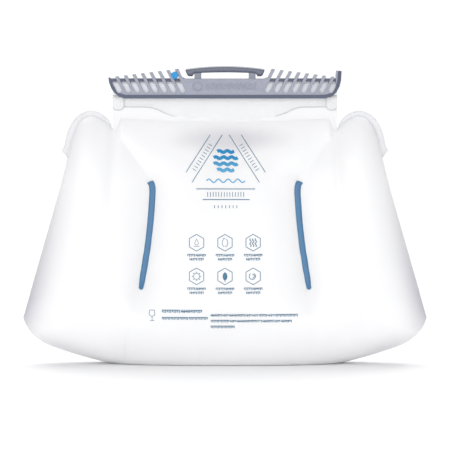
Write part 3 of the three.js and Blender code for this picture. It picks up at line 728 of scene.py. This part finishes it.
CLAMP_LOW, CLAMP_HIGH = node_box("slider_channel")
CLAMP_FACE = CLAMP_LOW[1]
WEB_LOW = 206.3
LIP_TOP = 212.0
PLATE_HALF = 30.0                   # half length of the plain middle plate
RELIEF_Z = 203.2
RELIEF_LEAN = math.radians(14)


def clamp_painted_shade(centre, normal):
    """Painted shade on the clamp: its bevelled lip, which turns under, and the web set back behind the fins
    take the second, darker material.
    """
    bevelled = 0.35 < abs(normal.y) < 0.95 and centre.z < LIP_TOP
    inside = CLAMP_FACE + 0.5 < centre.y < CLAMP_HIGH[1] - 0.5
    square = abs(normal.y) > 0.9 or normal.z > 0.9
    set_back = centre.z > WEB_LOW and abs(centre.x) > PLATE_HALF and inside and square
    return 1 if bevelled or set_back else 0


# the clamp's second material is painted shade on its lip and set-back web
finished(softened("clamp_comb", "slider_channel", [CLAMP_GREY, LIP_PAINTED_SHADE], 0.28, clamp_painted_shade),
         "clamp", "clamp_plastic", "slider_channel")
refined("plug_tag", "tether_plug", "clamp", TAG_BLUE, "tag_blue", 0.2)


def relief_bar(centre_x, centre_z, length, lean, width=1.0, height=0.5):
    """One raised pill on the clamp's front plate, as vertices and faces."""
    steps = 10
    ring = [(math.cos(t), math.sin(t)) for t in np.linspace(0, 2 * math.pi, 2 * steps, endpoint=False)]
    half = (length - width) / 2
    vertices = []
    for share, lift in ((1.0, 0.0), (0.85, 0.7), (0.5, 1.0)):
        for c, s in ring:
            along = math.copysign(half, s) + s * width / 2 * share
            out = c * width / 2 * share
            x = centre_x + out * math.cos(lean) + along * math.sin(lean)
            z = centre_z - out * math.sin(lean) + along * math.cos(lean)
            vertices.append((x, CLAMP_FACE - lift * height, z))
    count = len(ring)
    faces = ring_faces(3, count)
    faces.append(tuple(range(2 * count, 3 * count)))
    return vertices, faces


def clamp_relief():
    """Grip ribs and a ring raised on the middle of the clamp."""
    vertices, faces = [], []
    bars = [(x, RELIEF_Z, 5.2 if k % 3 else 3.6, RELIEF_LEAN)
            for k, x in enumerate(np.arange(-13.5, 22.1, 2.2))]
    ring = [(-20 + 3.2 * math.sin(t), RELIEF_Z + 3.2 * math.cos(t), 1.9, t + math.pi / 2)
            for t in np.linspace(0, 2 * math.pi, 14, endpoint=False)]
    for bar in bars + ring:
        new_vertices, new_faces = relief_bar(*bar)
        faces += [tuple(i + len(vertices) for i in face) for face in new_faces]
        vertices += new_vertices
    made = new_object("clamp_relief", vertices, faces, CLAMP_GREY)
    return finished(made, "clamp", "clamp_plastic")


clamp_relief()


GRIP_ARCH_HALF = 22.4               # half length of the finger gap's arch


def grip_section(x, half):
    """Underside and top of the arched grip at x, in millimetres, for its half length."""
    top = 217.8 - 2.2 * (x / half) ** 2
    foot = smoothstep(abs(x), 22.0, 25.5)
    under = lerp(213.2 - 0.6 * min(abs(x) / GRIP_ARCH_HALF, 1) ** 2, 210.4, foot)
    return under, top


def grip_bar():
    """A rounded, arched bar whose ends flare down and are cut at a slant."""
    low, high = node_box("grip_handle")
    middle_y, half_y = (low[1] + high[1]) / 2, (high[1] - low[1]) / 2
    half_x = high[0]
    around = np.linspace(0, 2 * math.pi, 40, endpoint=False)
    stations = np.sin(np.linspace(-1, 1, 90) * math.pi / 2) * half_x
    vertices = []
    for x in stations:
        under, top = grip_section(x, half_x)
        end = math.sqrt(max(1 - max((abs(x) - half_x + 1.2) / 1.2, 0) ** 2, 0.02))
        middle_z, half_z = (top + under) / 2, (top - under) / 2 * (0.55 + 0.45 * end)
        for t in around:
            c, s = math.cos(t), math.sin(t)
            y = middle_y + half_y * (0.75 + 0.25 * end) * math.copysign(abs(c) ** 0.55, c)
            z = middle_z + half_z * math.copysign(abs(s) ** 0.6, s)
            slant = (top - z) * 0.42 * smoothstep(abs(x), 20, half_x) * math.copysign(1, x)
            vertices.append((x - slant, y, z))
    count = len(around)
    faces = ring_faces(len(stations), count)
    faces.append(tuple(range(count))[::-1])
    faces.append(tuple(range((len(stations) - 1) * count, len(stations) * count)))
    made = new_object("grip_bar", vertices, faces, GRIP_GREY)
    return finished(made, "clamp", "grip_plastic", "grip_handle")


grip_bar()

# ---------------------------------------------------------------- outlet port

refined("outlet_flange", "port_flange", "bladder", PORT_GREY, "port_plastic", 0.25)
refined("outlet_body", "port_base", "bladder", PORT_GREY, "port_plastic", 0.35)
refined("outlet_cap", "port_cap", "bladder", CLAMP_GREY, "clamp_plastic", 0.35)
refined("outlet_seal", "socket_seal", "bladder", SEAL_BLACK, "seal_rubber", 0)
refined("valve_seat_ring", "valve_retainer", "bladder", PORT_GREY, "port_plastic", 0.15)
refined("valve_stem", "valve_poppet", "poppet", CLAMP_GREY, "clamp_plastic", 0.2)
refined("valve_seal", "poppet_seal", "poppet", SEAL_BLACK, "seal_rubber", 0)
refined("latch_button", "release_button", "button", TAG_BLUE, "tag_blue", 0.4)


def spring(name, node):
    """A coil spring: a softened copy of the CAD spring, with a mesh of its own."""
    made = refined(name, node, "bladder", WIRE, "spring_steel", 0)
    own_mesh(made)


spring("valve_spring", "poppet_spring")
spring("latch_spring", "button_spring")

# ---------------------------------------------------------------- prints on the front film

INK_LIFT = 0.12
SIGN_Z = 149.2                      # centre and radius of the round of waves
SIGN_RADIUS = 9.0
ICON_COLUMNS = (-20.6, 0, 20.4)
ICON_ROWS = (90.7, 66.6)


class Ink:
    """Printed shapes that follow the front film, gathered into one object."""

    def __init__(self, name, material):
        self.name, self.material = name, material
        self.vertices, self.faces = [], []

    def grid(self, flat):
        """A patch from rows and columns of X and Z points."""
        points = on_film(flat[..., 0], flat[..., 1], -1, INK_LIFT)
        first = len(self.vertices)
        self.faces += [tuple(i + first for i in face) for face in grid_faces(*flat.shape[:2])]
        self.vertices += list(points.reshape(-1, 3))

    def line(self, points, width, closed=False):
        """A stroke of even width along points."""
        points = np.asarray(points, float)
        if closed:
            points = np.vstack([points, points[:1]])
        lengths = np.hypot(*np.diff(points, axis=0).T)
        marks = np.concatenate([[0], np.cumsum(lengths)])
        steps = max(int(marks[-1] / 0.8), 2)
        at = np.unique(np.concatenate([np.linspace(0, marks[-1], steps + 1), marks]))
        path = np.stack([np.interp(at, marks, points[:, k]) for k in (0, 1)], 1)
        ahead = np.gradient(path, axis=0)
        if closed:
            ahead[0] = ahead[-1] = path[1] - path[-2]
        ahead /= np.maximum(np.linalg.norm(ahead, axis=1, keepdims=True), 1e-9)
        normal = np.stack([-ahead[:, 1], ahead[:, 0]], 1) * width / 2
        self.grid(np.stack([path - normal, path + normal], 1))

    def fill(self, outline, rings=5):
        """A filled shape that its middle can see all of."""
        outline = np.asarray(outline, float)
        outline = np.vstack([outline, outline[:1]])
        middle = outline[:-1].mean(axis=0)
        shares = np.linspace(0.02, 1, rings)
        self.grid(np.stack([middle + (outline - middle) * share for share in shares]))

    def done(self, slot):
        made = new_object(self.name, self.vertices, self.faces, self.material)
        return finished(made, "bladder", slot)


def circle(x, z, radius, count=24, start=0.0, sweep=2 * math.pi):
    turns = np.linspace(start, start + sweep, count, endpoint=sweep < 2 * math.pi - 1e-6)
    return [(x + radius * math.sin(t), z + radius * math.cos(t)) for t in turns]


def droplet(x, z, width, height, count=40):
    """A plain drop, point up, centred on x and z."""
    shape = []
    for t in np.linspace(0, 2 * math.pi, count, endpoint=False):
        narrow = math.sin(t / 2) ** 1.4
        shape.append((x + width / 2 * math.sin(t) * narrow * 1.12, z + height / 2 * math.cos(t)))
    return shape


def wave(x0, x1, z, height, length, steps=60):
    """A plain wave from x0 to x1."""
    turn = 2 * math.pi / length
    return [(x, z + height / 2 * math.sin(turn * (x - x0))) for x in np.linspace(x0, x1, steps)]


def tick_row(ink, start, end, count, length, width):
    """Short ticks across a line from start to end."""
    start, end = np.asarray(start, float), np.asarray(end, float)
    along = (end - start) / np.linalg.norm(end - start)
    across = np.array([-along[1], along[0]]) * length / 2
    for share in np.linspace(0, 1, count):
        middle = start + (end - start) * share
        ink.line([middle - across, middle + across], width)


def ticks(ink, x0, x1, z, height, groups):
    """A row of short upright ticks with a rule through each group, in groups that share its length."""
    gap = height * 0.6
    room = x1 - x0 - gap * (len(groups) - 1)
    at = x0
    for group in groups:
        end = at + room * group / sum(groups)
        count = max(round((end - at) / (height * 0.5)), 2)
        for k, x in enumerate(np.linspace(at, end, count)):
            low = height * (0.5 if k % 3 else 0.32)
            ink.line([(x, z - low), (x, z + height / 2)], height * 0.3)
        ink.line([(at, z + height * (0.38 if group % 2 else -0.1)), (end, z + height * 0.38)], height * 0.22)
        at = end + gap


def badge(slate, bright):
    """Two pairs of slanted rules over a round of waves, one long wave and short scales."""
    middle = 0.5
    for hand in (-1, 1):
        outer = [(middle + hand * 11.3, 167.8), (middle + hand * 28.9, 141)]
        inner = [(middle + hand * 2.5, 167.8), (middle + hand * 24.5, 133.8)]
        slate.line(outer, 0.5)
        slate.line(inner, 0.5)
        tick_row(slate, (middle + hand * 11.2, 160.5), (middle + hand * 22.8, 142.8), 10, 3.0, 0.42)
    for above in (-6.6, -2.2, 2.2, 6.6):
        half = math.sqrt(SIGN_RADIUS ** 2 - above ** 2)
        bright.line(wave(middle - half, middle + half, SIGN_Z + above, 1.2, 5.8), 2.4)
    bright.line(wave(-13.5, 14.5, 134.9, 2.4, 7.0), 0.85)
    slate.line([(-20.9, 129.1), (21.9, 129.1)], 0.6)
    tick_row(slate, (-12.6, 125.2), (13.6, 125.2), 14, 3.4, 0.45)
    slate.line([(-16.2, 121.5), (18, 121.5)], 0.6)
    tick_row(slate, (-7.6, 116.4), (8.6, 116.4), 7, 2.0, 0.5)


def icon_drop(ink, x, z):
    ink.line(droplet(x, z + 0.5, 3.2, 4.4), 0.32, closed=True)
    ink.line([(x - 2, z - 2.7), (x + 2, z - 2.7)], 0.32)


def icon_turn(ink, x, z):
    for start in (0.35, math.pi + 0.35):
        ink.line([(x + 0.7 * (px - x), pz) for px, pz in circle(x, z, 2.9, 14, start, 2.5)], 0.36)
        tip = (x + 0.7 * 2.9 * math.sin(start + 2.5), z + 2.9 * math.cos(start + 2.5))
        ink.line([(tip[0] - 0.7, tip[1] + 0.5), tip, (tip[0] + 0.7, tip[1] + 0.7)], 0.32)


def icon_waves(ink, x, z):
    for shift in (-1.9, 0, 1.9):
        ink.line([(x + shift + 0.5 * math.sin(2.2 * t), z + t) for t in np.linspace(-2.9, 2.9, 24)], 0.6)


def icon_wheel(ink, x, z):
    ink.line(circle(x, z, 2.2), 0.36, closed=True)
    for t in np.linspace(0, 2 * math.pi, 8, endpoint=False):
        ink.line([(x + radius * math.sin(t), z + radius * math.cos(t)) for radius in (2.5, 3.4)], 0.5)


def icon_leaf(ink, x, z):
    half = [(1.7 * math.sin(t), 3.0 * math.cos(t)) for t in np.linspace(0, math.pi, 14)]
    outline = [(x + a * abs(math.sin(i / 13 * math.pi)) ** 0.4, z + b) for i, (a, b) in enumerate(half)]
    ink.fill(outline + [(2 * x - a, b) for a, b in outline[::-1][1:-1]], 4)
    ink.line([(x, z - 2.8), (x, z - 4)], 0.4)


def icon_link(ink, x, z):
    ink.line(circle(x - 0.6, z, 2.3, 18, 0.5, 5.2), 0.45)
    ink.line([(x - 0.4, z - 1.5), (x + 1.6, z), (x - 0.4, z + 1.5)], 0.5)


def icons(slate):
    """Six plain symbols, each in a hexagon with rows of ticks under it."""
    rows = ((icon_drop, icon_turn, icon_waves), (icon_wheel, icon_leaf, icon_link))
    for row_z, symbols in zip(ICON_ROWS, rows):
        for x, symbol in zip(ICON_COLUMNS, symbols):
            slate.line(circle(x, row_z, 6.0, 6), 0.5, closed=True)
            symbol(slate, x, row_z)
            ticks(slate, x - 6.4, x + 6.4, row_z - 9.0, 1.9, (3, 4))
            ticks(slate, x - 4.8, x + 4.8, row_z - 11.9, 1.9, (4, 3))


def small_print(slate):
    """Rows of ticks and a cup symbol low on the front."""
    slate.line([(-54.6, 42), (-55, 38.6), (-52.8, 37.4), (-50.8, 38.6), (-51.2, 42)], 0.4, closed=True)
    slate.line([(-52.8, 37.4), (-52.8, 34.8)], 0.4)
    slate.line([(-54.4, 34.6), (-51.2, 34.6)], 0.4)
    ticks(slate, -45.4, -17, 41.3, 2.3, (5, 6))
    ticks(slate, -45.4, -12.8, 36.2, 2.0, (7, 5))
    ticks(slate, -10, 52.4, 38.4, 1.9, (4, 2, 6, 2, 2, 3, 2, 9))
    ticks(slate, -10, 48, 34.2, 1.9, (7, 2, 8, 1, 4, 2, 4))
    ticks(slate, -10, 6.6, 30.0, 1.9, (9,))


slate_ink, bright_ink = Ink("print_slate", INK), Ink("print_bright", INK_BRIGHT)
badge(slate_ink, bright_ink)
icons(slate_ink)
small_print(slate_ink)
slate_ink.done("weld_blue")
bright_ink.done("tag_blue")

# ---------------------------------------------------------------- floor, light and camera

VIEW_WIDTH = 328.5 * MM             # at the bladder
VIEW_CENTRE_Z = 102.2 * MM
CAMERA_DISTANCE = 2.4
CAMERA_ELEVATION = math.radians(4.5)


def floor(radius):
    """A round white floor that the backdrop's white takes over from."""
    mesh = bmesh.new()
    bmesh.ops.create_circle(mesh, cap_ends=True, segments=96, radius=radius)
    data = bpy.data.meshes.new("floor")
    mesh.to_mesh(data)
    mesh.free()
    made = bpy.data.objects.new("floor", data)
    made.location = (0, 0, -0.2 * MM)
    bpy.context.scene.collection.objects.link(made)
    shader = Shader("floor_white", Roughness=0.9)
    shader.main.inputs["Base Color"].default_value = (0.95, 0.95, 0.955, 1)
    data.materials.append(shader.material)


def area_light(name, place, target, size, power, colour=(1, 1, 1)):
    data = bpy.data.lights.new(name, "AREA")
    data.shape = "RECTANGLE"
    data.size, data.size_y = size
    data.energy = power
    data.color = colour
    made = bpy.data.objects.new(name, data)
    made.location = place
    made.rotation_euler = (Vector(target) - Vector(place)).to_track_quat("-Z", "Y").to_euler()
    bpy.context.scene.collection.objects.link(made)


def world(light, backdrop):
    """An even studio light, with a white backdrop behind everything."""
    made = bpy.data.worlds.new("studio")
    made.use_nodes = True
    nodes, links = made.node_tree.nodes, made.node_tree.links
    background = nodes["Background"]
    background.inputs["Color"].default_value = (1, 1, 1, 1)
    seen = nodes.new("ShaderNodeMapRange")
    seen.inputs["To Min"].default_value = light
    seen.inputs["To Max"].default_value = backdrop
    links.new(nodes.new("ShaderNodeLightPath").outputs["Is Camera Ray"], seen.inputs["Value"])
    links.new(seen.outputs["Result"], background.inputs["Strength"])
    bpy.context.scene.world = made


def camera():
    data = bpy.data.cameras.new("camera")
    data.sensor_width = 36
    data.lens = 36 * CAMERA_DISTANCE / VIEW_WIDTH
    data.clip_end = 50
    made = bpy.data.objects.new("camera", data)
    target = Vector((0, -0.01, VIEW_CENTRE_Z))
    away = Vector((0, -math.cos(CAMERA_ELEVATION), math.sin(CAMERA_ELEVATION)))
    made.location = target + away * CAMERA_DISTANCE
    made.rotation_euler = (-away).to_track_quat("-Z", "Y").to_euler()
    bpy.context.scene.collection.objects.link(made)
    bpy.context.scene.camera = made


floor(0.55)
world(0.7, 1.05)
area_light("top", (0, 0.8, 1.45), (0, 0.1, 0), (2.4, 1.4), 23)
area_light("key", (-0.3, -2.1, 0.55), (0, 0, 0.1), (2.2, 1.5), 15.5)
camera()
bpy.context.scene.view_settings.view_transform = "Standard"

bpy.context.view_layer.update()
